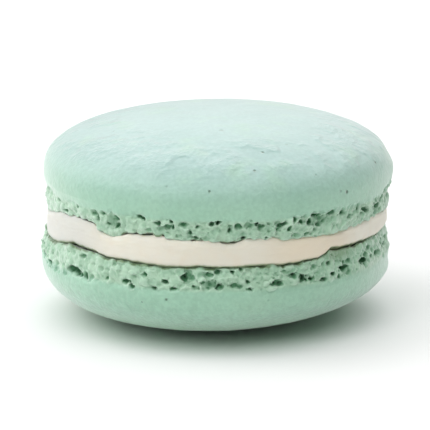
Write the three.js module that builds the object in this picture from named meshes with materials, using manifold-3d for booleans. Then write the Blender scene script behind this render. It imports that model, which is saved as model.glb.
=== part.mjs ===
// A French macaron: two baked almond meringue shells, domed side out, with a disc of buttercream between them.
// Each shell has a smooth blunt-rimmed dome and, under its lip, a ruffled foot full of burst bubbles.
// Millimetres, +Z up. The origin is on the table, under the middle of the macaron. Azimuth 0 is the front, -Y,
// and azimuths grow towards +X.
import * as THREE from "three";
import { mergeVertices } from "three/addons/utils/BufferGeometryUtils.js";
import Module from "manifold-3d";

const wasm = await Module();
wasm.setup();

// Driving dimensions.
const DIAMETER = 45;
const LOWER_FACE = 11.5; // height of the lower shell's flat inner face
const CREAM_THICKNESS = 3.4;
const TOTAL_HEIGHT = 26.4;
const UPPER_FACE = LOWER_FACE + CREAM_THICKNESS;
const FLAT_RADIUS = 19.6; // inside this the cream sticks to the shells' flat faces
const SHOULDER = 20.9; // outside this the crevice between cream and feet has its full width
const CREVICE = 0.22; // gap between the cream's rim and the feet
const SLICES = 88;
const DOME_RINGS = 8;

// h is the distance from a shell's inner face towards its crown, and r the distance from its axis.
const UPPER = {
  side: 1,
  face: UPPER_FACE,
  crown: TOTAL_HEIGHT - UPPER_FACE,
  offset: 0.17,
  radius: DIAMETER / 2,
  waist: 3.6, // h of the dome's widest ring
  bluntness: 2.85,
  lean: 0.5, // the crown's shift towards +X
  lip: 2.45, // h where the foot meets the dome's skin
  lipTilt: 0,
  lipRadius: 22.2,
  footRadius: 22.2,
  edgeRadius: 21.75,
  rest: 0,
  seed: 3.7,
  // [first azimuth, last azimuth, how far the foot's edge rises from the inner face towards the crown]
  scallops: [
    [-64, -44.5, 0.85],
    [-43, -33, -0.5],
    [-31.5, -17.5, 0.5],
    [-9, -3, 0.2],
    [-1.5, 7, -0.22],
    [8.5, 20, 0.25],
    [22, 52, -0.35],
  ],
  // [azimuth, h, width, height] of the large burst bubbles at the front
  bubbles: [
    [-38.5, 1.45, 1.7, 1.9],
    [-28, 2.35, 1.3, 0.6],
    [-20.6, 1.8, 1.0, 0.6],
    [-16.2, 2.1, 0.9, 0.8],
    [-1, 2.3, 1.7, 0.8],
    [3.8, 1.15, 0.9, 0.6],
    [7.2, 0.35, 0.8, 0.7],
    [13, 2.1, 2.0, 0.9],
    [21.8, 1.9, 1.2, 0.9],
    [26.5, 2.3, 0.7, 0.7],
    [34, 1.75, 1.5, 1.1],
    [41, 2.0, 1.4, 1.1],
    [47, 1.7, 0.9, 1.2],
    [56, 1.9, 1.1, 1.1],
  ],
};
const LOWER = {
  side: -1,
  face: LOWER_FACE,
  crown: LOWER_FACE,
  offset: -0.13,
  radius: 22.65,
  waist: 3.5,
  bluntness: 2.4,
  lean: -2.35,
  lip: 2.75,
  lipTilt: -0.5, // how much nearer the inner face the lip is at +X
  lipRadius: 22.5,
  footRadius: 22.5,
  edgeRadius: 21.85,
  rest: 0.35, // depth of the flat spot that it stands on
  seed: 8.2,
  scallops: [
    [-58, -43, -0.3],
    [-33, -15, 0.2],
    [40, 64, -0.7],
  ],
  bubbles: [
    [-72, 2.5, 0.8, 0.9],
    [-56, 2.55, 1.6, 1.4],
    [-49, 2.7, 0.8, 1.2],
    [-39, 2.4, 0.7, 0.7],
    [-29.5, 2.5, 1.1, 1.4],
    [-24.5, 1.2, 0.6, 0.7],
    [-16.8, 1.9, 1.1, 0.9],
    [-10.5, 1.5, 1.2, 1.2],
    [0.5, 2.2, 2.0, 1.4],
    [7.2, 2.1, 0.8, 0.9],
    [20, 2.3, 1.5, 0.7],
    [27, 1.7, 0.7, 0.7],
    [30.5, 2.1, 1.5, 1.4],
    [39, 2.2, 0.9, 0.7],
    [49, 1.7, 1.2, 1.5],
    [59, 1.6, 1.2, 1.1],
  ],
};
const RANDOM_FROM = 68; // behind this azimuth, on either side, scallops and large bubbles are drawn by chance
const PORES = 15; // small burst bubbles all round each foot

const radians = THREE.MathUtils.degToRad;
const { lerp, smoothstep } = THREE.MathUtils;

// The k-th number, 0 to 1, of the sequence that a seed starts.
function chance(seed, k) {
  const x = Math.sin(seed * 78.233 + k * 12.9898) * 43758.5453;
  return x - Math.floor(x);
}

// Scallops or bubbles for the sides and back, one after another round the hidden arc.
function aroundTheBack(seed, pitch, make) {
  const made = [];
  let azimuth = RANDOM_FROM;
  for (let k = 0; azimuth < 360 - RANDOM_FROM; k += 4) {
    const [a, b, c, d] = [0, 1, 2, 3].map((i) => chance(seed, k + i));
    const step = pitch * lerp(0.55, 1.45, a);
    made.push(make(azimuth, step, b, c, d));
    azimuth += step;
  }
  return made;
}

function allScallops(shell) {
  const hidden = aroundTheBack(shell.seed, 15, (azimuth, step, b) => [
    azimuth,
    azimuth + step * 0.9,
    lerp(-0.5, 0.6, b) * shell.side,
  ]);
  return [...shell.scallops, ...hidden];
}

function allBubbles(shell) {
  const hidden = aroundTheBack(shell.seed + 1, 11, (azimuth, step, b, c, d) => [
    azimuth,
    shell.lip * lerp(0.45, 0.95, b),
    lerp(0.7, 2.0, c),
    lerp(0.6, 1.5, d),
  ]);
  const pores = Array.from({ length: PORES }, (_, k) => {
    const [a, b, c] = [0, 1, 2].map((i) => chance(shell.seed + 2, 3 * k + i));
    const size = lerp(0.45, 0.8, c);
    return [360 * ((k + a) / PORES), shell.lip * lerp(0.15, 1.02, b), size, size];
  });
  return [...shell.bubbles, ...hidden, ...pores];
}

// How far the foot's edge stands from the inner face's plane at an azimuth, in degrees from 0 to 360.
function edgeRise(scallops, azimuth) {
  const soft = 2.2;
  return scallops.reduce((sum, [from, to, rise]) => {
    const middle = (from + to) / 2;
    const away = Math.abs(((azimuth - middle + 540) % 360) - 180);
    return sum + rise * (1 - smoothstep(away, (to - from) / 2 - soft, (to - from) / 2 + soft));
  }, 0);
}

// Low waves that run round a shell and keep it from being a perfect circle.
function sway(seed, angle, counts, amplitude) {
  const turns = counts.map((n, i) => Math.sin(n * angle + 6.283 * chance(seed, 90 + i)) / Math.sqrt(i + 1));
  return amplitude * turns.reduce((a, b) => a + b, 0);
}

// The half section of a shell as { r, h, edge, foot, dome }: edge, foot and dome say how much of the edge's
// scallops, the foot's ruffles and the dome's lean a point takes.
function shellSection(shell) {
  const { radius, waist, crown, rest, lip, lipRadius, footRadius, edgeRadius } = shell;
  const section = [
    { r: 0, h: 0, edge: 0, foot: 0, dome: 0 },
    { r: FLAT_RADIUS, h: 0, edge: 0, foot: 0, dome: 0 },
    { r: SHOULDER, h: 0, edge: 0, foot: 0, dome: 0 },
    { r: edgeRadius, h: 0.12, edge: 1, foot: 0.8, dome: 0 },
    { r: footRadius - 0.12, h: lip * 0.27, edge: 0.7, foot: 1, dome: 0 },
    { r: footRadius, h: lip * 0.55, edge: 0.35, foot: 1, dome: 0 },
    { r: footRadius - 0.05, h: lip * 0.82, edge: 0.1, foot: 0.8, dome: 0 },
    { r: lipRadius, h: lip, edge: 0, foot: 0.3, dome: 0 },
    { r: lerp(lipRadius, radius, 0.75), h: lerp(lip, waist, 0.42), edge: 0, foot: 0, dome: 0.5 },
  ];
  for (let k = 0; k <= DOME_RINGS; k++) {
    const turn = (Math.PI / 2) * Math.pow(k / DOME_RINGS, 1.55);
    const r = k === DOME_RINGS ? 0 : radius * Math.cos(turn);
    const full = waist + (crown + rest - waist) * Math.pow(Math.sin(turn), 2 / shell.bluntness);
    section.push({ r, h: Math.min(full, crown), edge: 0, foot: 0, dome: 1 });
  }
  return section;
}

// Moves each vertex of a lathe of the section: move(point of the section, angle) gives its new { x, y, z }.
function sculptedLathe(section, slices, move) {
  const outline = section.map(({ r }, i) => new THREE.Vector2(r, i));
  const lathe = new THREE.LatheGeometry(outline, slices);
  const position = lathe.getAttribute("position");
  for (let i = 0; i < position.count; i++) {
    const point = section[i % section.length];
    const angle = (2 * Math.PI * (Math.floor(i / section.length) % slices)) / slices;
    const { x, y, z } = move(point, angle);
    position.setXYZ(i, x, y, z);
  }
  lathe.deleteAttribute("normal");
  lathe.deleteAttribute("uv");
  return lathe;
}

function toSolid(geometry) {
  const merged = mergeVertices(geometry, 1e-4);
  return new wasm.Manifold(
    new wasm.Mesh({
      numProp: 3,
      vertProperties: new Float32Array(merged.getAttribute("position").array),
      triVerts: new Uint32Array(merged.index.array),
    }),
  );
}

function toGeometry(solid) {
  const { vertProperties, triVerts } = solid.getMesh();
  const geometry = new THREE.BufferGeometry();
  geometry.setAttribute("position", new THREE.BufferAttribute(vertProperties, 3));
  geometry.setIndex(new THREE.BufferAttribute(triVerts, 1));
  geometry.computeVertexNormals();
  return geometry;
}

// Where a point at radius r and azimuth angle lies on the table's plan.
function plan(r, angle, shiftX) {
  return { x: shiftX + r * Math.sin(angle), y: -r * Math.cos(angle) };
}

// A knob on the upper dome's right rim, where the batter was piped unevenly.
const KNOB = { azimuth: 88, h: 4.6, wide: 11, tall: 1.1, proud: 0.45 };
function knob(shell, point, angle) {
  const around = (THREE.MathUtils.radToDeg(angle) - KNOB.azimuth) / KNOB.wide;
  const along = (point.h - KNOB.h) / KNOB.tall;
  return shell === UPPER ? KNOB.proud * Math.exp(-around * around - along * along) : 0;
}

function shellMove(shell, scallops) {
  return (point, angle) => {
    const azimuth = THREE.MathUtils.radToDeg(angle);
    const ruffle = point.foot * sway(shell.seed + 3 + point.h, angle, [13, 23, 37], 0.13);
    const round = (point.r / shell.radius) * sway(shell.seed + 4, angle, [2, 3, 5], 0.07);
    const knobbed = point.dome ? knob(shell, point, angle) : 0;
    const r = point.r + ruffle + round * (point.dome || point.foot ? 1 : 0) + knobbed;
    const lean = point.dome * shell.lean * (1 - (point.r / shell.radius) ** 2);
    const atLip = point.foot ? point.h / shell.lip : point.dome < 1 && point.h ? 1 : 0;
    const tilt = shell.lipTilt * Math.sin(angle) * Math.min(atLip, 1);
    const h = point.h + point.edge * edgeRise(scallops, azimuth) + tilt;
    const shift = point.h > 0 ? shell.offset + lean : 0;
    return { ...plan(r, angle, shift), z: shell.face + shell.side * h };
  };
}

// The point of the foot's surface at a height h, between two rows of the section.
function onFoot(section, move, h, angle) {
  const next = section.findIndex((row, i) => i > 3 && row.h >= h);
  const [a, b] = [section[next - 1], section[next]];
  const [p, q] = [a, b].map((row) => move(row, angle));
  const t = Math.max(0, (h - a.h) / (b.h - a.h));
  return new THREE.Vector3(p.x, p.y, p.z).lerp(new THREE.Vector3(q.x, q.y, q.z), t);
}

// One burst bubble: a faceted ball, wider than tall, with its middle just under the foot's surface.
function bubbleSolid(shell, section, move, [azimuth, h, width, height], k) {
  const angle = radians((azimuth + 360) % 360);
  const ball = new THREE.IcosahedronGeometry(0.5, width > 1.3 ? 1 : 0);
  ball.deleteAttribute("normal");
  ball.deleteAttribute("uv");
  ball.rotateX(6.283 * chance(shell.seed + 5, k));
  ball.scale(width, (width + height) / 2, height);
  ball.rotateZ(angle);
  const { x, y, z } = onFoot(section, move, h, angle);
  ball.translate(x - 0.1 * height * Math.sin(angle), y + 0.1 * height * Math.cos(angle), z);
  return toSolid(ball);
}

function makeShell(shell) {
  const scallops = allScallops(shell);
  const section = shellSection(shell);
  // A lathe's faces point out when its section runs upwards.
  const ordered = shell.side > 0 ? section : section.slice().reverse();
  const move = shellMove(shell, scallops);
  const body = toSolid(sculptedLathe(ordered, SLICES, move));
  const holes = allBubbles(shell).map((bubble, k) => bubbleSolid(shell, section, move, bubble, k));
  return toGeometry(body.subtract(wasm.Manifold.union(holes)));
}

// The buttercream. Its rim fills the space between the two feet and swells a little past them at the front.
const CREAM = {
  radius: 22.0,
  rim: 21.6,
  swell: { from: -35, to: 39, proud: 0.3, droop: 0.25 },
};

function makeCream() {
  const above = allScallops(UPPER);
  const below = allScallops(LOWER);
  const middle = CREAM_THICKNESS / 2;
  // up is how much of the upper foot's edge a point follows, and down how much of the lower one's.
  const section = [
    { r: 0, z: 0, up: 0, down: 0, face: 0 },
    { r: FLAT_RADIUS, z: 0, up: 0, down: 0, face: 0 },
    { r: SHOULDER, z: CREVICE, up: 0, down: 0, face: 0 },
    { r: CREAM.rim, z: CREVICE, up: 0, down: 0.8, face: 0.4 },
    { r: CREAM.radius, z: middle * 0.45, up: 0, down: 0.8, face: 1 },
    { r: CREAM.radius + 0.12, z: middle, up: 0.4, down: 0.4, face: 1 },
    { r: CREAM.radius, z: middle * 1.6, up: 0.8, down: 0, face: 0.9 },
    { r: CREAM.rim, z: CREAM_THICKNESS - CREVICE, up: 0.8, down: 0, face: 0.2 },
    { r: SHOULDER, z: CREAM_THICKNESS - CREVICE, up: 0, down: 0, face: 0 },
    { r: FLAT_RADIUS, z: CREAM_THICKNESS, up: 0, down: 0, face: 0 },
    { r: 0, z: CREAM_THICKNESS, up: 0, down: 0, face: 0 },
  ];
  const { from, to, proud, droop } = CREAM.swell;
  const swollen = [[from, to, 1]];
  const lathe = sculptedLathe(section, SLICES, (point, angle) => {
    const azimuth = THREE.MathUtils.radToDeg(angle);
    const swell = edgeRise(swollen, azimuth) * point.face;
    const r = point.r + proud * swell + point.face * sway(5.1, angle, [4, 7, 11], 0.05);
    const follow = point.up * edgeRise(above, azimuth) - point.down * edgeRise(below, azimuth);
    const sag = point.z < middle && point.face === 1 ? -droop * swell : 0;
    return { ...plan(r, angle, 0), z: LOWER_FACE + point.z + follow + sag };
  });
  return toGeometry(toSolid(lathe));
}

const meringue = new THREE.Color().setRGB(0.62, 0.78, 0.7, THREE.SRGBColorSpace);
const buttercream = new THREE.Color().setRGB(0.9, 0.87, 0.8, THREE.SRGBColorSpace);

function piece(name, geometry, color, roughness) {
  const material = new THREE.MeshStandardMaterial({ color, roughness, metalness: 0 });
  const mesh = new THREE.Mesh(geometry, material);
  mesh.name = name;
  return mesh;
}

const macaron = new THREE.Group();
macaron.add(piece("shell_lower", makeShell(LOWER), meringue, 0.7));
macaron.add(piece("cream_filling", makeCream(), buttercream, 0.5));
macaron.add(piece("shell_upper", makeShell(UPPER), meringue, 0.7));

const box = new THREE.Box3().setFromObject(macaron);
const middle = box.getCenter(new THREE.Vector3());
macaron.position.set(-middle.x, -middle.y, -box.min.z);

export default macaron;
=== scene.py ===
"""A French macaron, dressed over its CAD solids: two meringue shells with frothy feet, and cream between.

The shells and the cream are dense lathed grids. The feet's froth is made of bubbles that swell the surface
out or sink it in. Lengths are in millimetres, but the depths of bumps and of light under the skin, and all
lengths of the studio, are in metres. Azimuths are degrees from the front, -Y, towards +X.
"""

import math

import bpy
import numpy as np
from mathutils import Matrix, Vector


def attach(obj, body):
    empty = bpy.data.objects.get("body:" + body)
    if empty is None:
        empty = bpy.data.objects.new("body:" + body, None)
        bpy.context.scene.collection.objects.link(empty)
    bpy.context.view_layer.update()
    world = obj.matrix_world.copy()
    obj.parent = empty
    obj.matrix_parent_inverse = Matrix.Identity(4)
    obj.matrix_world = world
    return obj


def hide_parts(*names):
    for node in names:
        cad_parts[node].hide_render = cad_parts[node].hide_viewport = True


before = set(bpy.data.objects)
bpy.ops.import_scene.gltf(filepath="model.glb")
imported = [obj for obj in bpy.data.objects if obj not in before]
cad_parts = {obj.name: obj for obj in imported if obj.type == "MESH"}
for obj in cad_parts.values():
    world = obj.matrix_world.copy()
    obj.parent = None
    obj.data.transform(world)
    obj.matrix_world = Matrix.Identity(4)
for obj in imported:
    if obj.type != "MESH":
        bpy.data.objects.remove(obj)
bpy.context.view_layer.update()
MM = 0.001
PLAN_SHIFT = np.array([-0.163, -0.01, 0.0])  # from the shells' common axis to the middle of the CAD's box
LOWER_FACE = 11.5  # heights of the shells' flat inner faces, which the cream hides
UPPER_FACE = 14.9
TOP = 26.4
RIM = 22.2  # mean radius of the feet
DEGREES_PER_MM = 2.58  # along the rim
FOOT_COLS = 1620  # columns of a foot's grid, round the macaron
CREAM_COLS = 1080
COARSE_COLS = 360  # columns of a dome's grid and of an inner face's
ROW = 0.09  # spacing of a foot's rows
INNER_RADII = np.array([3.0, 8.0, 14.0, 19.5])[:, None]  # rings of an inner face
FOOT_END = 3.0  # a shell's points farther than this from its inner face lie on the dome's skin

# ---------------------------------------------------------------- camera
ELEVATION = math.radians(14.4)
DISTANCE = 360.0
AIM = np.array([-0.40, 0.0, 12.65])
LENS = 231.5
SENSOR = 36.0


def make_camera():
    data = bpy.data.cameras.new("camera")
    data.lens = LENS
    data.sensor_width = SENSOR
    camera = bpy.data.objects.new("camera", data)
    back = np.array([0.0, -math.cos(ELEVATION), math.sin(ELEVATION)])
    camera.location = Vector((AIM + back * DISTANCE) * MM)
    camera.rotation_euler = (math.pi / 2 - ELEVATION, 0.0, 0.0)
    bpy.context.collection.objects.link(camera)
    bpy.context.scene.camera = camera


make_camera()

# ---------------------------------------------------------------- noise
rng = np.random.default_rng(20)
PERM = np.tile(rng.permutation(256), 3)
GRAD = rng.normal(size=(256, 3))
GRAD /= np.linalg.norm(GRAD, axis=1)[:, None]


def noise(p):
    """Gradient noise of points (..., 3), about -0.6 to 0.6, one cell per unit."""
    shape = p.shape[:-1]
    p = p.reshape(-1, 3)
    cell = np.floor(p).astype(int)
    f = p - cell
    cell &= 255
    u = f**3 * (f * (f * 6 - 15) + 10)
    total = np.zeros(len(p))
    for corner in np.ndindex(2, 2, 2):
        c = np.array(corner)
        i = (cell + c) & 255
        g = GRAD[PERM[PERM[PERM[i[:, 0]] + i[:, 1]] + i[:, 2]]]
        w = np.where(c == 1, u, 1 - u).prod(axis=1)
        total += w * (g * (f - c)).sum(axis=1)
    return total.reshape(shape)


def fbm(p, size, octaves, seed):
    """Fractal noise of points. size is the size of the largest lumps."""
    total = 0.0
    for k in range(octaves):
        total = total + noise(p * (2**k / size) + 17.3 * k + seed) * 0.5**k
    return total


def smooth(x, low, high):
    """0 up to low, 1 from high on, and an S-shaped step between."""
    t = np.clip((x - low) / (high - low), 0.0, 1.0)
    return t * t * (3 - 2 * t)


def around(anchors, spread, seed):
    """A function of azimuth through the (azimuth, value) anchors, which lie at the front. At the back it
    runs through random values about the anchors' mean. spread is their standard deviation."""
    draw = np.random.default_rng(seed)
    first, last = anchors[0][0], anchors[-1][0] - 360
    hidden = np.arange(last + 9, first - 5, 8.0)  # every 8 degrees or so, clear of the anchors
    hidden = hidden + draw.uniform(-2.5, 2.5, len(hidden))
    mean = float(np.mean([value for _, value in anchors]))
    knots = sorted(anchors + list(zip(hidden, mean + draw.normal(0, spread, len(hidden)))))
    az, values = np.array(knots).T

    fine = np.arange(-180, 180, 0.25)
    line = np.interp(fine, az, values, period=360)
    kernel = np.hanning(9) / np.hanning(9).sum()
    soft = np.convolve(np.concatenate([line[-4:], line, line[:4]]), kernel, "valid")
    return lambda azimuth: np.interp(np.asarray(azimuth, float), fine, soft, period=360)


# Heights round the macaron: the upper foot's edge, the cream's lower edge, and the rims of both skins.
UPPER_EDGE = around(
    [(-88, 13.7), (-78, 14.3), (-71, 14.95), (-63, 15.5), (-57, 15.9), (-48, 15.84), (-45, 15.6),
     (-41, 14.6), (-36.5, 14.4), (-34, 14.62), (-32.2, 15.0), (-30, 15.38), (-23, 15.57), (-18.5, 15.5),
     (-16, 14.94), (-11, 14.89), (-6, 15.26), (0, 14.83), (6, 14.76), (8.5, 15.1), (15, 15.2),
     (18, 15.31), (21, 14.75), (25, 14.71), (31, 14.71), (40, 14.54), (49, 14.87), (61, 15.11),
     (72, 14.94)],
    0.25, 1,
)
CREAM_LOW = around(
    [(-88, 10.6), (-78, 10.8), (-68, 11.05), (-61.8, 11.6), (-56, 12.02), (-49, 12.0), (-43.8, 11.95),
     (-39.3, 11.57), (-35, 11.6), (-31, 11.65), (-27, 11.53), (-22, 11.45), (-16, 11.4), (-7, 11.6),
     (18, 11.6), (23, 11.45), (28, 11.63), (34.7, 11.7), (37.6, 11.95), (39.2, 12.35), (40.6, 12.75),
     (43, 12.6), (46, 12.42), (55, 12.38), (62, 12.3), (69, 12.2), (78, 12.3), (88, 12.3)],
    0.15, 2,
)
UPPER_SKIN = around(
    [(-66, 16.95), (-53, 17.43), (-43, 17.23), (-37, 17.41), (-27, 17.62), (-20, 17.32), (-16, 17.47),
     (-7, 17.09), (-2.5, 17.57), (9.6, 17.6), (11.6, 17.24), (20, 17.01), (24, 17.49), (33, 17.58),
     (44, 17.55), (50, 17.45), (60, 17.34), (66, 17.4), (72, 17.75), (79, 18.15), (87, 18.1)],
    0.15, 3,
)
LOWER_SKIN = around(
    [(-69, 8.02), (-53, 8.26), (-45, 8.12), (-36, 8.9), (-27, 8.34), (-19, 8.59), (-14, 8.76),
     (-7, 9.07), (7, 8.98), (11, 8.72), (19, 9.16), (28, 9.27), (38, 8.8), (43, 8.94), (50, 9.31),
     (68, 9.37)],
    0.18, 4,
)


def signed(az):
    """An azimuth as a number from -180 to 180."""
    return (np.asarray(az, float) + 180) % 360 - 180


def between(az, first, last, soft=2.0):
    """1 where an azimuth lies between first and last, and 0 elsewhere, with soft ends."""
    a = signed(az)
    return smooth(a, first - soft, first + soft) * (1 - smooth(a, last - soft, last + soft))


def ragged(az, amount, seed, size=1.9):
    """Small lumps in an edge that runs round the macaron."""
    a = np.radians(az)
    ring = np.stack([np.sin(a), np.cos(a), 0 * a], axis=-1) * RIM
    return amount * fbm(ring, size, 3, seed)


def upper_foot_edge(az):
    return UPPER_EDGE(az) + ragged(az, 0.2, 3.0)


def cream_low(az):
    return CREAM_LOW(az) + ragged(az, 0.16, 8.0, 1.2)


def lower_gap(az):
    """The crevice between the cream and the lower foot. It is widest right of the cream's step."""
    gap = 0.15 + ragged(az, 0.22, 12.0, 1.3) + 0.16 * between(az, 40.0, 54.0, 1.5)
    return np.clip(gap, 0.06, None)


def lower_foot_edge(az):
    return cream_low(az) - lower_gap(az)


def upper_gap(az):
    """How far the cream stops short of the upper foot's edge. Where it is open, a dark line shows."""
    a = signed(az)
    open_ = between(a, -33.0, -18.0, 1.0) + 0.9 * between(a, -8.5, -4.5, 0.8) + between(a, 1.0, 8.5, 0.8)
    open_ = open_ + 0.7 * between(a, -62.0, -46.0) + 0.6 * smooth(np.abs(a), 75.0, 95.0)
    return 0.02 + np.clip((0.22 + ragged(az, 0.2, 21.0)) * open_, 0, None)


# ---------------------------------------------------------------- grids
def columns(count):
    """The azimuths of count evenly spaced columns."""
    return np.arange(count) * (360.0 / count)


def polar(r, az, z):
    """Points at radius r, azimuth az and height z."""
    a = np.radians(az)
    return np.stack([r * np.sin(a), -r * np.cos(a), z + 0 * r * a], axis=-1)


def outward(amount, az):
    """Moves by amount, straight out from the axis."""
    return polar(amount, az, 0.0 * amount)


def inner_face(z):
    """The rings of a shell's or the cream's flat inner face at height z, from the middle out."""
    return polar(INNER_RADII, columns(COARSE_COLS)[None, :], z)


def resample(anchors, spacing, soften=2):
    """Rows along a polyline of anchors (r, h, weights...), about spacing apart, with softened corners."""
    a = np.array(anchors, float)
    along = np.concatenate([[0], np.cumsum(np.hypot(*np.diff(a[:, :2], axis=0).T))])
    count = int(round(along[-1] / spacing)) + 1
    at = np.linspace(0, along[-1], count)
    rows = np.stack([np.interp(at, along, a[:, k]) for k in range(a.shape[1])], axis=1)
    for _ in range(soften):
        rows[1:-1] = 0.25 * rows[:-2] + 0.5 * rows[1:-1] + 0.25 * rows[2:]
    return rows


class Bubbles:
    """Pushes the grid P (rows, columns, 3) of a foot about with bubbles."""

    def __init__(self, grid, axis_shift):
        self.P = grid
        self.cols = grid.shape[1]
        self.shift = axis_shift

    def press(self, az, z, half, depth, sign):
        """One bubble with half axes (along the rim, up, out), its middle depth * half[2] under the surface
        at (az, z). sign 1 is a burst bubble, which sinks the surface in; -1 is a closed one, which swells
        it out. Each point in the bubble slides to its wall, on a line from the pole on the open side."""
        P = self.P
        half = np.asarray(half, float)
        col = int(round(az / 360 * self.cols)) % self.cols
        row = int(np.argmin(np.abs(P[:, col, 2] - z)))
        a = math.radians(az)
        axes = np.array([[math.cos(a), math.sin(a), 0], [0, 0, 1], [math.sin(a), -math.cos(a), 0]])
        spot = P[row, col].copy()
        spot[2] = z
        middle = spot - axes[2] * depth * half[2]
        reach = int(half[0] / (RIM * 2 * math.pi / self.cols)) + 3
        cols = np.arange(col - reach, col + reach + 1) % self.cols
        block = P[:, cols]
        q = (block - middle) @ axes.T / half
        inside = (q**2).sum(axis=-1) < 1
        if not inside.any():
            return
        pole = np.array([0, 0, float(sign)])
        v = q[inside] - pole
        s = -2 * (v @ pole) / np.maximum((v**2).sum(axis=1), 1e-9)
        block[inside] = ((pole + v * s[:, None]) * half) @ axes + middle
        P[:, cols] = block

    def radius(self):
        """The radius of each point of the grid, from the shell's own axis."""
        return np.hypot(self.P[..., 0] - self.shift, self.P[..., 1])


def mesh_object(name, zones, flip):
    """A closed mesh from zones, a list of (grid, attributes) from pole to pole. A grid is (rows, columns,
    3), and the first and the last row of all close on a point. The attributes are values for each vertex.
    flip turns the faces' normals over, for a mesh whose first zone lies above its last."""
    points = [grid.reshape(-1, 3) for grid, _ in zones]
    points += [zones[0][0][0].mean(axis=0)[None], zones[-1][0][-1].mean(axis=0)[None]]
    verts = (np.concatenate(points) + PLAN_SHIFT) * MM
    tris = closed_faces([grid.shape[:2] for grid, _ in zones])
    if flip:
        tris = tris[:, ::-1]
    mesh = bpy.data.meshes.new(name)
    mesh.from_pydata(verts.tolist(), [], tris.tolist())
    mesh.shade_smooth()
    for key in zones[0][1]:
        values = [np.broadcast_to(attributes[key], grid.shape[:2]).reshape(-1) for grid, attributes in zones]
        values += [values[0][:1], values[-1][-1:]]
        layer = mesh.attributes.new(key, "FLOAT", "POINT")
        layer.data.foreach_set("value", np.concatenate(values).astype(np.float32))
    obj = bpy.data.objects.new(name, mesh)
    bpy.context.collection.objects.link(obj)
    return obj


def closed_faces(shapes):
    """Triangles over zones of these (rows, columns), whose points follow one another. The two points that
    close the ends come last."""
    starts = np.cumsum([0] + [rows * cols for rows, cols in shapes])
    faces = []
    for (rows, cols), start in zip(shapes, starts):
        i, j = np.meshgrid(np.arange(rows - 1), np.arange(cols), indexing="ij")
        a = start + i * cols + j
        b = start + i * cols + (j + 1) % cols
        quad = np.stack([a, b, b + cols, a + cols], axis=-1).reshape(-1, 4)
        faces += [quad[:, [0, 1, 2]], quad[:, [0, 2, 3]]]
    for k in range(len(shapes) - 1):
        rows, cols = shapes[k]
        faces.append(stitch(starts[k] + (rows - 1) * cols, cols, starts[k + 1], shapes[k + 1][1]))
    count, n0, n1 = starts[-1], shapes[0][1], shapes[-1][1]
    j0, j1 = np.arange(n0), np.arange(n1)
    end = count - n1
    faces.append(np.stack([np.full(n0, count), (j0 + 1) % n0, j0], axis=-1))
    faces.append(np.stack([np.full(n1, count + 1), end + j1, end + (j1 + 1) % n1], axis=-1))
    return np.concatenate(faces)


def stitch(a, na, b, nb):
    """Triangles between two rings of na and nb points, which start at points a and b."""
    n = max(na, nb)
    j = np.arange(n)
    ja, jb = j * na // n, j * nb // n
    ja2, jb2 = ((j + 1) * na // n) % na, ((j + 1) * nb // n) % nb
    if na >= nb:
        first = np.stack([a + ja, a + ja2, b + jb], axis=-1)
        turn = jb2 != jb
        second = np.stack([a + ja2, b + jb2, b + jb], axis=-1)[turn]
    else:
        first = np.stack([a + ja, b + jb2, b + jb], axis=-1)
        turn = ja2 != ja
        second = np.stack([a + ja, a + ja2, b + jb2], axis=-1)[turn]
    return np.concatenate([first, second])


# ---------------------------------------------------------------- shells
PALE = 0.55  # a large bubble less dark than this is shallow
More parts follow.
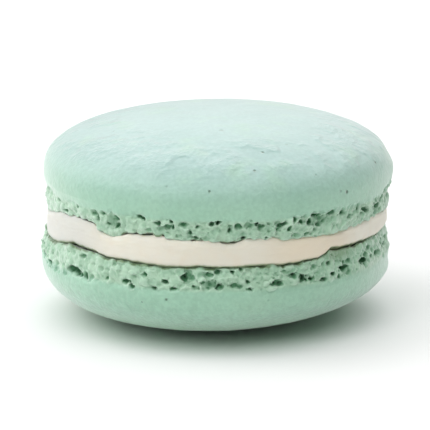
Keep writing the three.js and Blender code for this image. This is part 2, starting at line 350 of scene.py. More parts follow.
# Large burst bubbles at the front of each foot: azimuth, height, how wide, how tall, how dark and deep.
UPPER_PITS = [
    (-64.7, 17.13, 0.88, 0.39, 0.3), (-59.4, 16.2, 0.98, 0.26, 0.3), (-52.3, 17.28, 0.51, 0.52, 0.6),
    (-43.8, 17.03, 1.04, 0.77, 0.3), (-42.0, 16.57, 0.67, 0.64, 0.7), (-40.1, 17.28, 0.57, 0.52, 0.6),
    (-35.7, 16.33, 2.0, 1.93, 0.45), (-35.2, 16.85, 0.61, 0.52, 0.9), (-34.7, 15.99, 0.76, 0.64, 0.9),
    (-26.0, 17.5, 0.7, 0.39, 1), (-24.4, 17.32, 0.69, 0.45, 1), (-19.7, 16.93, 0.86, 0.52, 1),
    (-16.5, 16.61, 0.52, 0.52, 0.4), (-15.0, 17.22, 0.58, 0.52, 1), (-14.9, 16.56, 0.39, 0.58, 0.8),
    (-11.0, 16.99, 0.76, 0.58, 0.4), (-9.0, 15.93, 0.38, 0.77, 0.7), (-7.0, 15.32, 1.01, 0.39, 0.9),
    (-6.7, 16.74, 0.44, 0.45, 0.8), (-1.9, 17.22, 0.63, 0.58, 1), (-0.2, 17.29, 0.69, 0.71, 1),
    (3.5, 16.27, 0.75, 0.45, 1), (6.5, 16.75, 1.01, 0.64, 0.4), (7.9, 15.31, 0.69, 0.58, 1),
    (9.7, 16.89, 0.89, 0.64, 0.4), (12.1, 17.02, 0.77, 0.45, 0.8), (14.1, 16.67, 1.03, 0.64, 0.4),
    (15.4, 15.24, 0.32, 0.32, 0.6), (19.6, 16.26, 0.66, 1.03, 0.4), (20.1, 16.68, 0.67, 0.39, 0.9),
    (21.6, 16.84, 0.67, 0.39, 0.9), (23.4, 16.15, 0.68, 0.52, 0.6), (24.8, 17.28, 0.62, 0.45, 1),
    (25.7, 15.26, 0.97, 0.64, 0.4), (27.4, 16.83, 0.85, 0.64, 0.6), (29.7, 15.23, 0.72, 0.52, 0.3),
    (34.5, 16.65, 3.64, 1.55, 0.4), (31.5, 16.75, 0.88, 0.77, 0.7), (33.1, 17.44, 1.19, 0.32, 0.7),
    (34.3, 16.09, 0.68, 0.39, 0.7), (38.9, 17.35, 1.12, 0.64, 0.7), (43.6, 17.1, 0.78, 0.84, 0.8),
    (47.8, 16.4, 1.3, 0.9, 0.5), (51.7, 17.0, 0.6, 1.03, 0.6), (56.3, 16.55, 1.35, 0.77, 0.6),
    (61.4, 15.12, 0.78, 0.39, 0.4), (65.4, 16.07, 1.8, 1.16, 0.6), (67.9, 16.93, 1.66, 1.03, 0.5),
    (73.5, 17.4, 1.1, 1.2, 0.45), (80.0, 17.6, 1.2, 1.1, 0.4),
]
LOWER_PITS = [
    (-69.0, 8.51, 1.4, 0.64, 0.8), (-52.0, 8.98, 2.03, 1.03, 1), (-49.0, 8.85, 1.05, 0.64, 1),
    (-48.3, 11.2, 1.13, 0.39, 0.3), (-45.9, 8.78, 0.72, 1.16, 0.6), (-37.0, 9.16, 0.55, 0.45, 0.9),
    (-29.5, 9.23, 0.93, 0.58, 0.9), (-27.4, 8.7, 0.7, 0.71, 1), (-23.2, 10.39, 0.61, 0.58, 0.9),
    (-19.8, 8.78, 0.8, 0.39, 0.8), (-16.3, 9.68, 0.98, 0.58, 1), (-13.6, 8.89, 0.77, 0.39, 0.9),
    (-9.0, 10.36, 1.65, 1.03, 0.4), (-10.1, 10.25, 0.76, 0.77, 1), (-7.1, 9.25, 0.38, 0.39, 0.9),
    (-1.9, 10.81, 1.0, 0.64, 0.3), (-1.4, 9.67, 2.25, 1.16, 0.45), (0.2, 9.3, 0.75, 0.77, 1),
    (0.9, 11.07, 0.38, 0.32, 0.5), (5.3, 11.05, 0.31, 0.32, 0.5), (5.7, 9.44, 1.76, 0.77, 0.35),
    (8.0, 11.3, 0.32, 0.32, 0.8), (10.0, 9.76, 0.7, 0.71, 1), (10.6, 8.85, 0.7, 0.39, 0.9),
    (18.1, 9.35, 0.92, 0.52, 0.8), (20.5, 9.27, 0.8, 0.45, 0.8), (25.3, 10.14, 0.62, 0.58, 0.9),
    (28.7, 9.7, 1.28, 1.16, 1), (32.0, 9.35, 0.88, 0.64, 1), (36.4, 9.02, 0.93, 0.52, 0.7),
    (38.9, 10.88, 0.64, 0.52, 0.4), (40.3, 9.5, 0.82, 0.39, 0.9), (43.1, 8.99, 0.43, 0.52, 0.7),
    (45.7, 10.55, 0.63, 0.52, 0.8), (46.0, 9.87, 1.26, 1.03, 1), (55.4, 9.99, 1.76, 0.97, 0.9),
    (60.8, 10.1, 1.02, 0.52, 0.3), (66.1, 10.06, 1.54, 0.77, 0.5),
]
EDGE_ROW = 0.1  # height in a foot's outline that becomes the edge against the cream
# A shell. side is 1 for the upper one and -1 for the lower. Its heights count from its inner face, away
# from the cream: crown is the whole height, waist the widest ring's, lip the one in the foot's outline that
# becomes the skin's rim, and rest how much of the crown is cut flat. shift moves the axis, and lean the
# crown, to the right. edge, gap and skin are functions of azimuth. busy is the first and the last azimuth of
# the thick froth, and its share elsewhere at the front. The foot's rows are radius, height, share of the
# edge's height, share of the rim's height, and froth.
UPPER = dict(
    name="meringue_upper", side=1, face=UPPER_FACE, crown=TOP - UPPER_FACE, shift=0.17, radius=22.5,
    waist=3.66, bluntness=2.9, lean=0.5, rest=0.0, edge=upper_foot_edge, gap=upper_gap, skin=UPPER_SKIN,
    lip=2.5, seed=31, pits=UPPER_PITS, busy=(-25.0, 80.0, 0.12),
    foot=[(20.9, 0.0, 0, 0, 0), (21.3, 0.0, 0.5, 0, 0), (21.6, 0.02, 0.95, 0, 0.3), (21.84, 0.1, 1, 0, 0.7),
          (22.0, 0.36, 0.85, 0.1, 1), (22.12, 0.9, 0.6, 0.3, 1), (22.21, 1.4, 0.4, 0.5, 1),
          (22.28, 1.9, 0.2, 0.75, 1), (22.33, 2.3, 0.05, 0.95, 1), (22.36, 2.5, 0, 1, 0.9),
          (22.4, 2.7, 0, 1, 0.7), (22.43, 2.9, 0, 1, 0.45), (22.46, 3.1, 0, 0.75, 0.2),
          (22.49, 3.5, 0, 0.3, 0)],
)
LOWER = dict(
    name="meringue_lower", side=-1, face=LOWER_FACE, crown=LOWER_FACE, shift=-0.13, radius=22.7,
    waist=3.5, bluntness=2.4, lean=-2.35, rest=0.35, edge=lower_foot_edge, gap=lower_gap, skin=LOWER_SKIN,
    lip=2.7, seed=57, pits=LOWER_PITS, busy=(-12.0, 60.0, 0.3),
    foot=[(20.9, 0.0, 0, 0, 0), (21.4, 0.0, 0.5, 0, 0), (21.7, 0.02, 0.95, 0, 0.3), (21.92, 0.1, 1, 0, 0.7),
          (22.12, 0.35, 0.85, 0.1, 1), (22.3, 0.9, 0.6, 0.3, 1), (22.44, 1.5, 0.4, 0.5, 1),
          (22.54, 2.1, 0.2, 0.75, 1), (22.59, 2.5, 0.05, 0.95, 1), (22.61, 2.7, 0, 1, 0.8),
          (22.64, 2.9, 0, 0.8, 0.5), (22.67, 3.15, 0, 0.55, 0.25), (22.69, 3.4, 0, 0.3, 0)],
)


def sway(az, counts, amplitude, seed):
    """Slow waves round the macaron. counts says how many of each go into a turn."""
    draw = np.random.default_rng(seed)
    a = np.radians(az)
    waves = 0
    for k, count in enumerate(counts):
        waves = waves + math.sqrt(1 / (k + 1)) * np.sin(count * a + draw.uniform(0, 6.28))
    return amplitude * waves


def out_of_round(s, az):
    """How far a shell's outline strays from a circle at azimuth az."""
    return sway(az, [2, 3, 5], 0.05, s["seed"])


def heights(s, az):
    """How far the foot's edge and the skin's rim lie from their rows in the foot's outline."""
    edge = s["side"] * (s["edge"](az) - s["face"]) - EDGE_ROW
    skin = s["side"] * (s["skin"](az) - s["face"]) - s["lip"]
    return edge, skin


def foot_grid(s):
    """The foot and the rim of the dome's skin, before its bubbles."""
    rows = resample(s["foot"], ROW)
    az = columns(FOOT_COLS)[None, :]
    r, h, of_edge, of_skin, froth = (rows[:, k][:, None] for k in range(5))
    edge, skin = heights(s, az)
    height = h + of_edge * edge + of_skin * skin
    r = r + out_of_round(s, az) + froth * sway(az, [13, 23, 37], 0.05, s["seed"] + 1)
    r = r + trim(s, az, s["face"] + s["side"] * height)
    P = polar(r, az, s["face"] + s["side"] * height)
    P += outward(0.3 * fbm(P, 2.4, 4, s["seed"]) * froth, az)
    P[..., 2] += 0.2 * fbm(P, 1.4, 3, s["seed"] + 5.0) * froth * smooth(h, 0.05, 0.6)
    P[..., 0] += s["shift"] * smooth(rows[:, 0], 20.9, 21.7)[:, None]
    return P + outward(skin_wave(s, P) * smooth(h, 0.3, 1.8), az), rows


def trim(s, az, z):
    """Where the outline strays from a true round. The lower shell is flatter at its right end. The upper one
    has a notch at each end, under the dome's rim, and a knob at its right end."""
    if s["side"] < 0:
        return -0.32 * between(az, 66, 110, 12) * smooth(z, 6.0, 7.5)
    left = -0.25 * between(az, -112, -76, 8) * np.exp(-(((z - 17.0) / 0.7) ** 2))
    right = -0.45 * between(az, 74, 110, 6) * np.exp(-(((z - 16.5) / 0.9) ** 2))
    knob = np.exp(-(((z - 19.5) / 0.9) ** 2)) - 0.6 * np.exp(-(((z - 21.3) / 0.7) ** 2))
    return left + right + 0.2 * knob * between(az, 80, 97, 5)


def skin_wave(s, P):
    """How far the dome's skin swells out at points P."""
    return 0.12 * fbm(P, 9.0, 2, s["seed"] + 2.0) + 0.05 * fbm(P, 2.6, 2, s["seed"] + 3.0)


def blur(field, size):
    """A soft copy of a foot's field (rows, columns). size is the spread."""
    reach = np.arange(field.shape[0])
    weights = np.exp(-0.5 * ((reach[:, None] - reach[None, :]) * ROW / size) ** 2)
    weights /= weights.sum(axis=1)[:, None]
    turn = np.fft.rfftfreq(field.shape[1]) * field.shape[1] / RIM
    along = np.exp(-0.5 * (turn * size) ** 2)
    return np.fft.irfft(np.fft.rfft(weights @ field, axis=1) * along, field.shape[1], axis=1)


def burst(foam, draw, az, z, wide, tall, dark):
    """A large burst bubble: a ragged, deep hole if it is dark, or just a few small ones if it is pale."""
    pale = dark < PALE
    if not pale:
        foam.press(az, z, (0.34 * wide, 0.38 * tall, 0.4 * min(wide, tall) + 0.6 * dark), 0.35, 1)
    for _ in range(int(4 * wide * tall) + 3):
        turn, out = draw.uniform(0, 2 * math.pi), draw.uniform(0.1, 0.5)
        half = draw.uniform(0.08, 0.2) if pale else draw.uniform(0.06, 0.15) * (wide + tall)
        at = az + DEGREES_PER_MM * out * wide * math.cos(turn), z + out * tall * math.sin(turn)
        axes = half * draw.uniform(0.8, 1.3), half, half + 0.4 * dark
        foam.press(*at, axes, draw.uniform(-0.3, 0.4), 1)


def ruffle(s, P, rows):
    """Makes the bubbles' outlines ragged."""
    share = smooth(rows[:, 4], 0.0, 0.8)[:, None]
    layers = ((0.8, 40.0), (0.6, 50.0), (0.75, 60.0))
    along, out, up = (share * fbm(P, size, 3, s["seed"] + seed) for size, seed in layers)
    az = np.arctan2(P[..., 0] - s["shift"], -P[..., 1])
    P[..., 0] += 0.21 * along * np.cos(az) + 0.1 * out * np.sin(az)
    P[..., 1] += 0.21 * along * np.sin(az) - 0.1 * out * np.cos(az)
    P[..., 2] += 0.2 * up


def busy(s, az):
    """How thickly small bubbles stand at an azimuth of the foot, from about 0 to 1."""
    a = np.radians(az)
    ring = np.array([[3.0 * math.sin(a), 3.0 * math.cos(a), s["seed"] * 1.7]])
    patchy = 0.55 + 1.2 * float(noise(ring)[0])
    front = 1.0 - float(smooth(np.abs(signed(az)), 75.0, 95.0))
    first, last, least = s["busy"]
    seen = least + (0.9 - least) * float(between(az, first, last, 6.0))
    return patchy + (seen - patchy) * front


CLOSED_BUBBLES, SMALL_BUBBLES, FINE_BUBBLES = 620, 1500, 1300  # drawn for each foot
BACK = 72, 288  # azimuths between which the large bubbles are drawn by chance
BACK_PITS = 110  # and how many they are


def froth(s, P, rows):
    """Covers the foot with closed bubbles, hollows, and small, fine and large burst bubbles. Returns the
    foot, how deep each point lies in its hollows, which sets the painted shade there, and how far it
    stands out, which sets the painted highlight on ridges."""
    draw = np.random.default_rng(s["seed"] + 9)
    foam = Bubbles(P, s["shift"])

    def height(az, share):
        a = s["side"] * (s["edge"](az) - s["face"])
        b = s["side"] * (s["skin"](az) - s["face"])
        return float(s["face"] + s["side"] * (a + (b - a) * share))

    def place(low, high):
        az = draw.uniform(0, 360)
        return az, height(az, draw.uniform(low, high))

    # closed bubbles
    for _ in range(CLOSED_BUBBLES):
        size = draw.uniform(0.3, 0.85)
        foam.press(*place(0.06, 1.0), (size, size * 0.75, size * 0.5), 0.62, -1)
    # the hollows that the large burst ones stand in
    large = []
    for az in draw.uniform(*BACK, BACK_PITS):
        size = draw.random() ** 2
        z, dark = height(az, draw.uniform(0.35, 1.0)), draw.uniform(0.4, 1) - 0.35 * size
        large.append((az, z, 0.4 + 1.2 * size, 0.35 + 0.6 * size, dark))
    large += s["pits"]
    closed = foam.radius()
    for az, z, wide, tall, dark in large:
        grow, hollow = (0.55, 0.8) if dark < PALE else (0.6, 0.5)
        foam.press(az, z, (grow * wide + 0.1, grow * tall + 0.1, hollow), -0.4, 1)
    hollows = np.clip(closed - foam.radius(), 0, None)
    envelope = blur(foam.radius(), 0.3)
    # small, fine and large burst bubbles
    for _ in range(SMALL_BUBBLES):
        size = draw.uniform(0.14, 0.45)
        az, z = place(0.04, 1.04)
        if draw.random() < busy(s, az):
            foam.press(az, z, (size * 1.2, size, size * 0.85), -draw.uniform(0.35, 0.8), 1)
    for _ in range(FINE_BUBBLES):
        az, z = place(0.05, 1.08)
        size = 0.07 + 0.13 * draw.random() ** 1.5
        if draw.random() < 0.8 * busy(s, az):
            foam.press(az, z, (size * 1.25, size, size * 1.1), draw.uniform(-0.4, 0.4), 1)
    for bubble in large:
        burst(foam, draw, *bubble)
    # soft, ragged edges, and the depths that set the painted shade in hollows and the painted highlight on
    # ridges
    for k in range(3):
        P[..., k] = blur(P[..., k], 0.05)
    ruffle(s, P, rows)
    r = foam.radius()
    relief = blur(r, 0.25) - r
    # painted shade: the deeper a point lies, the darker its colour
    cavity_shade = 0.75 * np.clip(envelope - r, 0, None) + 1.3 * np.clip(relief, 0, None) + 0.5 * hollows
    return P, cavity_shade, np.clip(-relief, 0, None)


DOME_ROWS = 61
CROWN_SPAN = 8.5  # from the foot's end to where the skin counts as the crown's


def dome_grid(s):
    """The dome from the end of the foot grid to its crown: a superellipse that leans and waves a little."""
    turns = (math.pi / 2) * np.linspace(0, 1, DOME_ROWS + 1)[:-1] ** 1.25
    r = s["radius"] * np.cos(turns)[:, None]
    full = s["waist"] + (s["crown"] + s["rest"] - s["waist"]) * np.sin(turns) ** (2 / s["bluntness"])
    h = np.minimum(full, s["crown"])[:, None]
    az = columns(COARSE_COLS)[None, :]
    _, skin = heights(s, az)
    fade = 1 - smooth(h, s["waist"], s["waist"] + 1.2)
    h = h + 0.3 * skin * fade
    r = r + out_of_round(s, az) * r / s["radius"]
    r = r + trim(s, az, s["face"] + s["side"] * h)
    lean = s["lean"] * (1 - (r / s["radius"]) ** 2)
    P = polar(r, az, s["face"] + s["side"] * h)
    P[..., 0] += s["shift"] + lean
    flat = smooth(s["crown"] - h, 0.02, 1.2) if s["rest"] else 1.0
    wave = skin_wave(s, P)
    slope = np.clip(r / s["radius"], 0, 1)
    swell = polar(wave * slope, az, s["side"] * wave * (1 - slope**4))
    P += swell * np.broadcast_to(flat, wave.shape)[..., None]
    return P


def crown_share(s, dome):
    """How near its crown each point of the dome is, from 0 to 1. Near the crown the skin gets a painted cool
    light from above. The lower dome's share first rises and then falls to -0.5 at the bottom, which is
    greener."""
    climb = np.abs(dome[..., 2] - s["face"])
    crown = np.clip((climb - FOOT_END) / CROWN_SPAN, 0, 1)
    if s["side"] > 0:
        return crown
    return 0.5 * crown * (1 - smooth(climb, 6.5, 9.0)) - 0.5 * smooth(climb, 6.5, 9.5)


def seam_shade_share(s, rows):
    """How much painted shade darkens the foot at its crevice with the cream, from 0 to 1. Under the
    cream's step, the lower foot also gets a painted shadow.
    """
    az = columns(FOOT_COLS)
    open_ = np.clip(s["gap"](az) / 0.2, 0, 1)
    h = rows[:, 1][:, None]
    seam_shade = open_[None, :] * (0.65 * (1 - smooth(h, 0.1, 0.22)) + 0.35 * (1 - smooth(h, 0.1, 0.75)))
    if s["side"] > 0:
        return seam_shade
    # painted shadow under the cream's step
    under_step = between(az, 38.0, 50.0, 3.0)[None, :]
    return np.maximum(seam_shade, 0.55 * under_step * (1 - smooth(h, 0.4, 1.8)))


def make_shell(s):
    foot, rows = foot_grid(s)
    foot, cavity_shade, ridge_highlight = froth(s, foot, rows)
    az = columns(FOOT_COLS)[None, :]
    if s["side"] < 0:
        cavity_shade = cavity_shade + 0.17 * between(az, 18.0, 68.0, 9.0)  # painted shade: the foot darker at the right, away from the light
    else:
        ridge_highlight = ridge_highlight + 0.08 * between(az, -100.0, -44.0, 9.0)  # painted light: the foot paler at the left, towards the light
    foot_share = 1 - smooth(np.abs(foot[..., 2] - s["face"]), s["lip"] - 0.25, s["lip"] + 0.35)
    dome = dome_grid(s)
    zones = [
        (inner_face(s["face"]), dict(cavity_shade=0.0, ridge_highlight=0.0, foot=1.0, seam_shade=1.0, crown=0.0)),
        (foot, dict(cavity_shade=cavity_shade, ridge_highlight=ridge_highlight, foot=foot_share, seam_shade=seam_shade_share(s, rows), crown=0.0)),
        (dome, dict(cavity_shade=0.0, ridge_highlight=0.0, foot=0.0, seam_shade=0.0, crown=crown_share(s, dome))),
    ]
    return mesh_object(s["name"], zones, s["side"] < 0)


# ---------------------------------------------------------------- cream
CREAM_RADIUS = 21.72
CREAM_ROWS = 44
TUCK = 0.2  # how far the cream's turned-in rings start from its flat faces
TUCK_RADII = np.array([20.9, 21.3, 21.55])[:, None]
TUCK_SHARES = np.array([0.0, 0.55, 0.92])[:, None]


def turn_in(az, face, edge, sign):
    """Three rings from near a flat face out to the cream's edge. sign is 1 at the lower face."""
    return polar(TUCK_RADII, az, face + sign * TUCK + (edge - face - sign * TUCK) * TUCK_SHARES)


def make_cream():
    az = columns(CREAM_COLS)[None, :]
    low, high = cream_low(az), upper_foot_edge(az) - upper_gap(az)
    share = np.linspace(0, 1, CREAM_ROWS)[:, None]
    belly = 1 - np.abs(2 * share - 1) ** 5
    bulge = 0.16 + 0.14 * between(az, -28, 39, 3.0)
    r = CREAM_RADIUS + 0.22 * belly + bulge * belly * (1 - 0.5 * share) + sway(az, [4, 7, 11], 0.035, 70)
    P = polar(r, az, low + (high - low) * share)
    smear = np.stack([P[..., 0] * 0.5, P[..., 1] * 0.5, P[..., 2] * 2.2], axis=-1)
    P += outward((0.07 * fbm(P, 4.5, 3, 80.0) + 0.035 * fbm(smear, 1.0, 3, 90.0)) * belly, az)
    below = turn_in(az, LOWER_FACE, low, 1)
    above = turn_in(az, UPPER_FACE, high, -1)[::-1]
    body = np.concatenate([below, P, above])
    # painted shade on the cream's lower edge and on its turned-in rings
    seam_shade = np.concatenate([np.ones(3), 1 - smooth(share[:, 0], 0.0, 0.15), np.zeros(3)])[:, None]
    warm_light = 0.8 * between(az, 18.0, 48.0, 9.0)  # painted warm light at the right
    pale = 0.8 * between(az, -100.0, -44.0, 12.0)  # painted cooler, greyer light at the left
    zones = [
        (inner_face(LOWER_FACE), dict(seam_shade=1.0, warm_light=0.0, pale=0.0)),
        (body, dict(seam_shade=seam_shade, warm_light=warm_light, pale=pale)),
        (inner_face(UPPER_FACE)[::-1], dict(seam_shade=0.0, warm_light=0.0, pale=0.0)),
    ]
    return mesh_object("buttercream", zones, False)


# ---------------------------------------------------------------- materials
class Nodes:
    """A short way to build a material's node tree. A (node, socket) pair stands for an output."""

    def __init__(self, name):
        self.material = bpy.data.materials.new(name)
        self.material.use_nodes = True
        self.tree = self.material.node_tree
        self.tree.nodes.clear()
        self.shader = self.add("ShaderNodeBsdfPrincipled")
        self.link(self.shader, "BSDF", self.add("ShaderNodeOutputMaterial"), "Surface")
        self.mm = self.add("ShaderNodeVectorMath", operation="SCALE")  # places in millimetres
        self.mm.inputs["Scale"].default_value = 1000.0
        self.link(self.add("ShaderNodeTexCoord"), "Object", self.mm, 0)

    def add(self, kind, **settings):
        node = self.tree.nodes.new(kind)
        for key, value in settings.items():
            setattr(node, key, value)
        return node

    def link(self, a, out, b, into):
        self.tree.links.new(a.outputs[out], b.inputs[into])

    def set(self, **values):
        """Sets inputs of the shader. An underscore in a name stands for a space."""
        for key, value in values.items():
            self.shader.inputs[key.replace("_", " ")].default_value = value

    def finish(self, colour, normal=None):
        """Links the shader's colour and normal, and returns the material."""
        self.link(*colour, self.shader, "Base Color")
        if normal:
            self.link(*normal, self.shader, "Normal")
        return self.material

    def noise(self, size, detail=3.0, rough=0.5, stretch=None):
        """Noise with lumps of size mm, stretched by the inverse of stretch along each axis."""
        source = self.mm
        if stretch is not None:
            source = self.add("ShaderNodeMapping")
            source.inputs["Scale"].default_value = stretch
            self.link(self.mm, 0, source, "Vector")
        tex = self.add("ShaderNodeTexNoise")
        tex.inputs["Scale"].default_value = 1.0 / size
        tex.inputs["Detail"].default_value = detail
        tex.inputs["Roughness"].default_value = rough
        self.link(source, 0, tex, "Vector")
        return tex, "Fac"

    def attribute(self, name):
        return self.add("ShaderNodeAttribute", attribute_name=name), "Fac"

    def ramp(self, source, low, high, out_low=0.0, out_high=1.0):
        """An S-shaped step from out_low, where source is low, to out_high, where it is high."""
        node = self.add("ShaderNodeMapRange", interpolation_type="SMOOTHSTEP")
        ends = {"From Min": low, "From Max": high, "To Min": out_low, "To Max": out_high}
        for key, value in ends.items():
            node.inputs[key].default_value = value
        self.link(*source, node, "Value")
        return node, "Result"

    def math(self, operation, a, b):
        node = self.add("ShaderNodeMath", operation=operation)
        for k, side in enumerate((a, b)):
            if isinstance(side, tuple):
                self.link(*side, node, k)
            else:
                node.inputs[k].default_value = side
        return node, "Value"

    def mix(self, factor, a, b, blend="MIX"):
        """A mix of two colours. Each of the three is an output or a plain value."""
        node = self.add("ShaderNodeMix", data_type="RGBA", blend_type=blend)
        for key, side in ((0, factor), (6, a), (7, b)):
            if isinstance(side, tuple) and len(side) == 2:
                self.link(*side, node, key)
            else:
                node.inputs[key].default_value = side if key == 0 else (*side, 1.0)
        return node, 2

    def bump(self, height, distance, normal=None):
        """The normal of relief that is distance high where height is 1, on top of another normal."""
        node = self.add("ShaderNodeBump")
        node.inputs["Distance"].default_value = distance
        node.inputs["Strength"].default_value = 1.0
        self.link(*height, node, "Height")
        if normal:
            self.link(*normal, node, "Normal")
        return node, "Normal"


# Specks in the domes' skin at the front: about where each is, how wide, and how dark.
SPECKS = [
    ((-1.07, -21.95, 21.24), 0.32, 0.9), ((15.91, -15.87, 19.67), 0.46, 1.0),
    ((19.87, -8.74, 21.74), 0.42, 0.9), ((4.44, -19.33, 23.24), 0.38, 0.8),
    ((5.48, -15.36, 24.64), 0.45, 0.9), ((0.42, -9.0, 25.94), 0.6, 0.4),
    ((-6.32, -20.8, 21.58), 0.3, 0.3), ((8.51, -12.58, 24.96), 0.4, 0.25),
    ((-9.35, -20.71, 6.94), 0.25, 0.6), ((-6.37, -21.85, 7.53), 0.36, 0.75),
    ((6.18, -21.72, 7.36), 0.3, 0.3),
]
SPECK_SPACING = 3.2  # of the small ones' cells, about a quarter of which may hold one


def on_skin(at, domes):
    """The point at, moved straight out or in to the nearer dome."""
    at = np.array(at)
    dome = domes[0] if at[2] > UPPER_FACE else domes[1]
    near = dome[np.argmin(((dome - at) ** 2).sum(axis=1))]
    out = near - np.array([0.0, 0.0, (LOWER_FACE + UPPER_FACE) / 2])
    out /= np.linalg.norm(out)
    return at + out * ((near - at) @ out)


def specks(n, domes):
    """How much of a point of the skin is a speck: those of the table, and small sparse ones everywhere."""
    cells = n.add("ShaderNodeTexVoronoi")
    cells.inputs["Scale"].default_value = 1 / SPECK_SPACING
    n.link(n.mm, 0, cells, "Vector")
    rare = n.add("ShaderNodeSeparateColor")
    n.link(cells, "Color", rare, 0)
    few = n.ramp((rare, 0), 0.72, 0.74, 0.0, 0.45)
    total = n.math("MULTIPLY", n.ramp((cells, "Distance"), 0.035, 0.06, 1.0, 0.0), few)
    for at, width, dark in SPECKS:
        away = n.add("ShaderNodeVectorMath", operation="DISTANCE")
        away.inputs[1].default_value = on_skin(at, domes)
        n.link(n.mm, 0, away, 0)
        total = n.math("MAXIMUM", total, n.ramp((away, "Value"), 0.3 * width, 0.62 * width, dark, 0.0))
    return total


# Base colours, linear. A pair is the darker and the paler end of a mottle.
SKIN = (0.272, 0.492, 0.357), (0.298, 0.523, 0.383)
# painted cool light from above, on the crowns
SKIN_TOP_COOL_LIGHT = (0.27, 0.425, 0.392), (0.3, 0.453, 0.422)
SKIN_BOTTOM = (0.25, 0.53, 0.33)
SKIN_PATCH = (0.295, 0.49, 0.355)
SPECK = (0.07, 0.16, 0.10)
CRUMB = (0.26, 0.45, 0.306), (0.36, 0.545, 0.393)
# painted highlight on the froth's ridges
CRUMB_RIDGE_HIGHLIGHT = (0.53, 0.70, 0.57)
# painted shade in the froth's hollows and pores
CRUMB_HOLLOW_SHADE = (0.05, 0.215, 0.09)
# painted shade in the crevices between the feet and the cream
CREVICE_SHADE = (0.07, 0.15, 0.04)
FINE_MOTTLE = (0.95, 0.955, 0.95), (1.05, 1.045, 1.05)  # these two multiply the others
BOTTOM_MOTTLE = (0.94, 0.955, 0.94), (1.07, 1.08, 1.07)
BOTTOM = 6.0, 9.0  # heights between which the lower dome's own mottle fades out
WRINKLES, GRAIN, SPECK_PITS = 0.00032, 0.00009, 0.00012  # depths of bumps


def skin_colour(n, crown, spots):
    """The domes' skin: bluer at the top, a painted cool light from above, greener at the bottom, with
    patches and specks.
    """
    blotch = n.ramp(n.noise(7.0, 2.0), 0.3, 0.7)
    # painted cool light from above, stronger towards the crowns
    skin = n.mix(n.ramp(crown, 0.0, 0.76), n.mix(blotch, *SKIN), n.mix(blotch, *SKIN_TOP_COOL_LIGHT))
    skin = n.mix(n.ramp(crown, -0.5, 0.0, 1.0, 0.0), skin, SKIN_BOTTOM)
    skin = n.mix(n.ramp(n.noise(4.0, 3.0), 0.52, 0.75, 0.0, 0.5), skin, SKIN_PATCH)
    return n.mix(spots, skin, SPECK)


def meringue_normal(n, crown, z, spots):
    """Wrinkles on the upper dome's shoulder, a fine grain, stronger at the bottom, and sunken specks."""
    shoulder = n.math("MULTIPLY", n.ramp(crown, 0.4, 0.6), n.ramp(crown, 0.84, 0.94, 1.0, 0.1))
    wrinkled = n.math("MULTIPLY", shoulder, n.ramp(n.noise(4.5, 2.0), 0.42, 0.6))
    normal = n.bump(n.math("MULTIPLY", n.noise(1.3, 3.0, 0.6), wrinkled), WRINKLES)
    grain = n.math("MULTIPLY", n.noise(0.5, 2.0, 0.6), n.ramp(crown, 0.4, 0.9, 1.0, 0.2))
    grain = n.math("MULTIPLY", grain, n.ramp(z, *BOTTOM, 1.4, 1.0))
    normal = n.bump(grain, GRAIN, normal)
    return n.bump(n.math("SUBTRACT", 1.0, spots), SPECK_PITS, normal)


def meringue(domes):
    """The shells' material. domes are the points of the upper and of the lower dome."""
    n = Nodes("meringue")
    foot, cavity_shade, ridge_highlight = (n.attribute(key) for key in ("foot", "cavity_shade", "ridge_highlight"))
    seam_shade, crown = n.attribute("seam_shade"), n.attribute("crown")
    place = n.add("ShaderNodeSeparateXYZ")
    n.link(n.mm, 0, place, 0)
    z = place, "Z"
    spots = specks(n, domes)
    crumb = n.mix(n.ramp(n.noise(1.6, 3.0), 0.3, 0.7), *CRUMB)
    colour = n.mix(foot, skin_colour(n, crown, spots), crumb)
    mottle = n.mix(n.ramp(n.noise(0.5, 2.0), 0.3, 0.7), *FINE_MOTTLE)
    colour = n.mix(1.0, colour, mottle, "MULTIPLY")
    mottle = n.mix(n.ramp(n.noise(0.9, 3.0), 0.3, 0.7), *BOTTOM_MOTTLE)
    colour = n.mix(n.ramp(z, *BOTTOM, 1.0, 0.0), colour, mottle, "MULTIPLY")
    # painted highlight on the froth's ridges
    colour = n.mix(n.ramp(ridge_highlight, 0.02, 0.14, 0.0, 0.3), colour, CRUMB_RIDGE_HIGHLIGHT)
    # painted shade in the froth's hollows
    colour = n.mix(n.ramp(cavity_shade, 0.02, 0.75), colour, CRUMB_HOLLOW_SHADE)
    # painted shade at the crevice next to the cream
    colour = n.mix(n.ramp(seam_shade, 0.0, 1.0, 0.0, 0.9), colour, CREVICE_SHADE)
    n.set(Roughness=0.45, IOR=1.45, Specular_IOR_Level=0.8, Sheen_Weight=0.6, Sheen_Roughness=0.5)
    n.set(Subsurface_Weight=0.25, Subsurface_Radius=(0.8, 1.0, 0.85), Subsurface_Scale=0.0006)
    return n.finish(colour, meringue_normal(n, crown, z, spots))


CREAM = (0.69, 0.662, 0.563), (0.725, 0.702, 0.613)
CREAM_PATCH = (0.70, 0.635, 0.525)
# painted warm light at the cream's right
CREAM_WARM_LIGHT = (0.725, 0.64, 0.50)
# painted cooler, greyer light at the cream's left
CREAM_COOL_LIGHT = (0.575, 0.58, 0.545)
# painted shade along the cream's edges at the crevices
CREAM_CREVICE_SHADE = (0.15, 0.22, 0.09)
SMEARS, CREAM_GRAIN = 0.00005, 0.00001  # depths of bumps


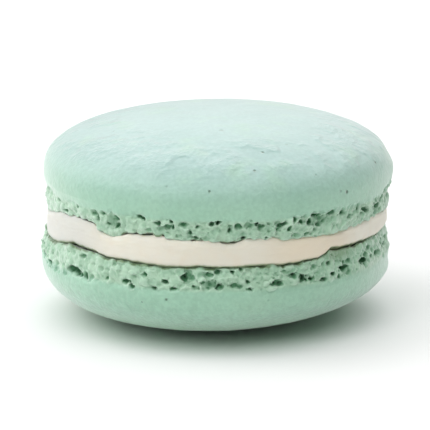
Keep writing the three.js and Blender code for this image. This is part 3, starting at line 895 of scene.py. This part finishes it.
def buttercream_material():
    n = Nodes("buttercream")
    tint = n.mix(n.ramp(n.noise(5.0, 2.0), 0.3, 0.7), *CREAM)
    tint = n.mix(n.ramp(n.noise(1.4, 3.0), 0.45, 0.75, 0.0, 0.5), tint, CREAM_PATCH)
    # painted warm light at the right
    tint = n.mix(n.attribute("warm_light"), tint, CREAM_WARM_LIGHT)
    # painted cooler, greyer light at the left
    tint = n.mix(n.attribute("pale"), tint, CREAM_COOL_LIGHT)
    # painted shade at the crevices
    tint = n.mix(n.ramp(n.attribute("seam_shade"), 0.0, 1.0, 0.0, 0.85), tint, CREAM_CREVICE_SHADE)
    smear = n.bump(n.noise(0.8, 3.0, 0.55, (0.4, 0.4, 1.6)), SMEARS)
    n.set(Roughness=0.42, IOR=1.45)
    n.set(Subsurface_Weight=0.4, Subsurface_Radius=(1.0, 0.85, 0.65), Subsurface_Scale=0.0012)
    return n.finish(tint, n.bump(n.noise(0.25, 2.0), CREAM_GRAIN, smear))


# ---------------------------------------------------------------- the object
def skin_points(piece, face):
    """The points of a shell's dome."""
    points = np.empty(3 * len(piece.data.vertices))
    piece.data.vertices.foreach_get("co", points)
    points = points.reshape(-1, 3) / MM
    return points[np.abs(points[:, 2] - face) > FOOT_END]


upper, lower = make_shell(UPPER), make_shell(LOWER)
shell_look = meringue((skin_points(upper, UPPER_FACE), skin_points(lower, LOWER_FACE)))
cream_look = buttercream_material()
for piece, node in ((lower, "shell_lower"), (upper, "shell_upper")):
    piece.data.materials.append(shell_look)
    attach(piece, "root")
    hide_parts(node)
cream = make_cream()
cream.data.materials.append(cream_look)
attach(cream, "root")
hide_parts("cream_filling")


# ---------------------------------------------------------------- the studio
FLOOR_HALF = 3.0
PAPER = (0.78, 0.785, 0.78), (0.80, 0.80, 0.80)
MIDDLE = Vector((0, 0, 0.013))  # what the lights face
# Soft lights: name, place, watts, width, and a rectangle's height.
LIGHTS = [
    ("overhead", (0.0, 0.0, 0.7), 13.6, 2.0),
    ("back", (0.0, 0.75, 0.5), 1.13, 0.6),
    ("backdrop", (0.0, 1.0, 0.32), 1.42, 2.0, 0.5),
    ("backdrop_left", (-0.9, 0.5, 0.32), 2.54, 0.8, 0.5),
    ("left", (-0.65, 0.0, 0.62), 1.96, 0.7),
    ("front_left", (-0.5, -0.7, 0.5), 2.06, 0.5),
]
AMBIENT = 0.173  # strength of the even light from all round


def make_floor():
    mesh = bpy.data.meshes.new("floor")
    corners = [(x * FLOOR_HALF, y * FLOOR_HALF, 0) for x, y in ((-1, -1), (1, -1), (1, 1), (-1, 1))]
    mesh.from_pydata(corners, [], [(0, 1, 2, 3)])
    floor = bpy.data.objects.new("floor", mesh)
    n = Nodes("floor_paper")
    n.set(Roughness=0.9, Specular_IOR_Level=0.1)
    mesh.materials.append(n.finish(n.mix(n.noise(30.0, 2.0), *PAPER)))
    bpy.context.collection.objects.link(floor)


def area_light(name, at, power, wide, tall=None):
    """A light that faces the macaron: a disk, or a rectangle if tall is given."""
    data = bpy.data.lights.new(name, "AREA")
    data.shape = "RECTANGLE" if tall else "DISK"
    data.size = wide
    if tall:
        data.size_y = tall
    data.energy = power
    light = bpy.data.objects.new(name, data)
    light.location = Vector(at)
    light.rotation_euler = (MIDDLE - light.location).to_track_quat("-Z", "Y").to_euler()
    bpy.context.collection.objects.link(light)


def make_world():
    world = bpy.data.worlds.new("studio")
    world.use_nodes = True
    sky = world.node_tree.nodes["Background"]
    sky.inputs["Color"].default_value = (1.0, 1.0, 1.0, 1.0)
    sky.inputs["Strength"].default_value = AMBIENT
    bpy.context.scene.world = world


make_floor()
for light in LIGHTS:
    area_light(*light)
make_world()
view = bpy.context.scene.view_settings
view.view_transform = "Standard"
view.look = "None"
